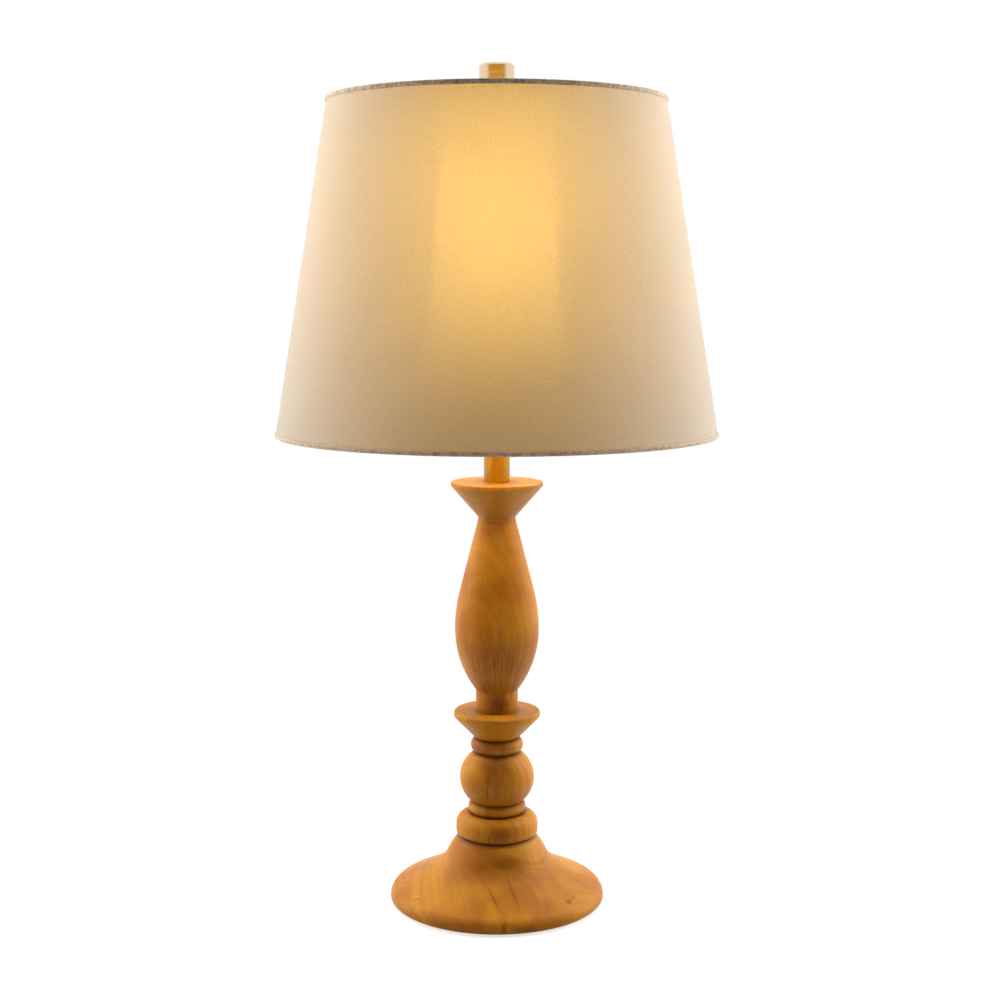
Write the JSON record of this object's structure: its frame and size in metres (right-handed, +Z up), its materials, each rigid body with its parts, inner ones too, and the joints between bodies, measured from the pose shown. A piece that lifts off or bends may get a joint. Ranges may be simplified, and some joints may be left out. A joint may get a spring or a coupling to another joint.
{
  "type": "table lamp",
  "caption": "Table lamp with a turned wooden column on a round domed foot, a brass neck and a tapered round fabric shade, held on a wire harp by a brass finial.",
  "frame": {"origin": "centre of the felt's underside, on the table", "axes": "+Z up the column, -Y towards the front with the switch's knob, +X to its right"},
  "size_m": [0.3378, 0.3378, 0.645],
  "materials": {
    "felt": "wool felt, cut to a disc",
    "wood": "turned rubberwood, honey stain under satin lacquer",
    "weight_steel": "raw cast disc",
    "zinc_steel": "zinc plated",
    "nylon": "moulded black nylon",
    "neck_brass": "polished and lacquered",
    "harp_brass": "brass plated steel wire and strip",
    "socket_brass": "drawn brass, clear lacquer",
    "paper": "waxed kraft board",
    "phenolic": "moulded phenolic",
    "terminal_brass": "machined brass",
    "bulb_metal": "drawn aluminium",
    "bulb_black_glass": "black glass insulator",
    "bulb_frosted": "inside frosted glass",
    "bulb_clear": "clear glass mount",
    "filament": "coiled tungsten, drawn plain",
    "shade_linen": "linen-look weave on a translucent sheet",
    "shade_styrene": "translucent styrene sheet",
    "shade_wire": "white enamelled steel wire",
    "shade_tape": "folded linen tape",
    "finial_brass": "turned, brushed round and lacquered"
  },
  "bodies": {
    "root": {"felt_pad": "felt", "base": "wood", "base_weight": "weight_steel", "weight_screws": "zinc_steel", "cord_bush": "nylon", "lamp_pipe": "zinc_steel", "bottom_washer": "zinc_steel", "bottom_nut": "zinc_steel", "base_disc": "wood", "lower_ring": "wood", "ball": "wood", "upper_bead": "wood", "lower_dish": "wood", "baluster": "wood", "upper_dish": "wood", "neck_tube": "neck_brass", "check_ring": "neck_brass", "harp_saddle": "harp_brass", "socket_cap": "socket_brass", "cap_set_screw": "zinc_steel", "socket_shell": "socket_brass", "socket_liner": "paper", "socket_core": "phenolic", "terminal_screws": "terminal_brass", "screw_shell": "terminal_brass", "centre_contact": "terminal_brass"},
    "switch": {"switch_shaft": "terminal_brass", "switch_knob": "phenolic"},
    "bulb_tip": {"bulb_contact": "bulb_metal"},
    "bulb": {"bulb_cap": "bulb_metal", "bulb_insulator": "bulb_black_glass", "bulb_glass": "bulb_frosted", "bulb_stem": "bulb_clear", "bulb_filament": "filament"},
    "harp": {"harp_wire": "harp_brass", "harp_clip": "harp_brass", "harp_stud": "harp_brass"},
    "left_sleeve": {"sleeve_left": "harp_brass"},
    "right_sleeve": {"sleeve_right": "harp_brass"},
    "spider": {"spider_hub": "shade_wire"},
    "shade": {"shade_fabric": "shade_linen", "shade_liner": "shade_styrene", "shade_top_ring": "shade_wire", "shade_low_ring": "shade_wire", "shade_trim_top": "shade_tape", "shade_trim_low": "shade_tape", "spider_arm_back": "shade_wire", "spider_arm_left": "shade_wire", "spider_arm_right": "shade_wire"},
    "finial_screw": {"finial_neck": "finial_brass"},
    "finial_head": {"finial_knob": "finial_brass"}
  },
  "joints": [
    {"name": "switch_turn", "type": "hinge", "parent": "root", "child": "switch", "pos_m": [0, -0.02, 0.418], "axis": [0, -1, 0], "continuous": true},
    {"name": "bulb_rise", "type": "slide", "parent": "root", "child": "bulb_tip", "axis": [0, 0, 1], "range_m": [0, 0.0128]},
    {"name": "bulb_turn", "type": "hinge", "parent": "bulb_tip", "child": "bulb", "pos_m": [0, 0, 0.45], "axis": [0, 0, 1], "range_deg": [0, 1260]},
    {"name": "harp_lift", "type": "slide", "parent": "root", "child": "harp", "axis": [0, 0, 1], "range_m": [0, 0.012]},
    {"name": "left_sleeve_lift", "type": "slide", "parent": "harp", "child": "left_sleeve", "axis": [0, 0, 1], "range_m": [0, 0.015]},
    {"name": "right_sleeve_lift", "type": "slide", "parent": "harp", "child": "right_sleeve", "axis": [0, 0, 1], "range_m": [0, 0.015]},
    {"name": "shade_lift", "type": "slide", "parent": "harp", "child": "spider", "axis": [0, 0, 1], "range_m": [0, 0.25]},
    {"name": "shade_turn", "type": "hinge", "parent": "spider", "child": "shade", "pos_m": [0, 0, 0.6085], "axis": [0, 0, 1], "continuous": true},
    {"name": "finial_rise", "type": "slide", "parent": "spider", "child": "finial_screw", "axis": [0, 0, 1], "range_m": [0, 0.0095]},
    {"name": "finial_turn", "type": "hinge", "parent": "finial_screw", "child": "finial_head", "pos_m": [0, 0, 0.63], "axis": [0, 0, 1], "range_deg": [0, 3600]}
  ],
  "couplings": [
    {"joint": "bulb_rise", "follows": "bulb_turn", "m_per_rad": 0.00057757},
    {"joint": "finial_rise", "follows": "finial_turn", "m_per_rad": 0.00014972}
  ]
}
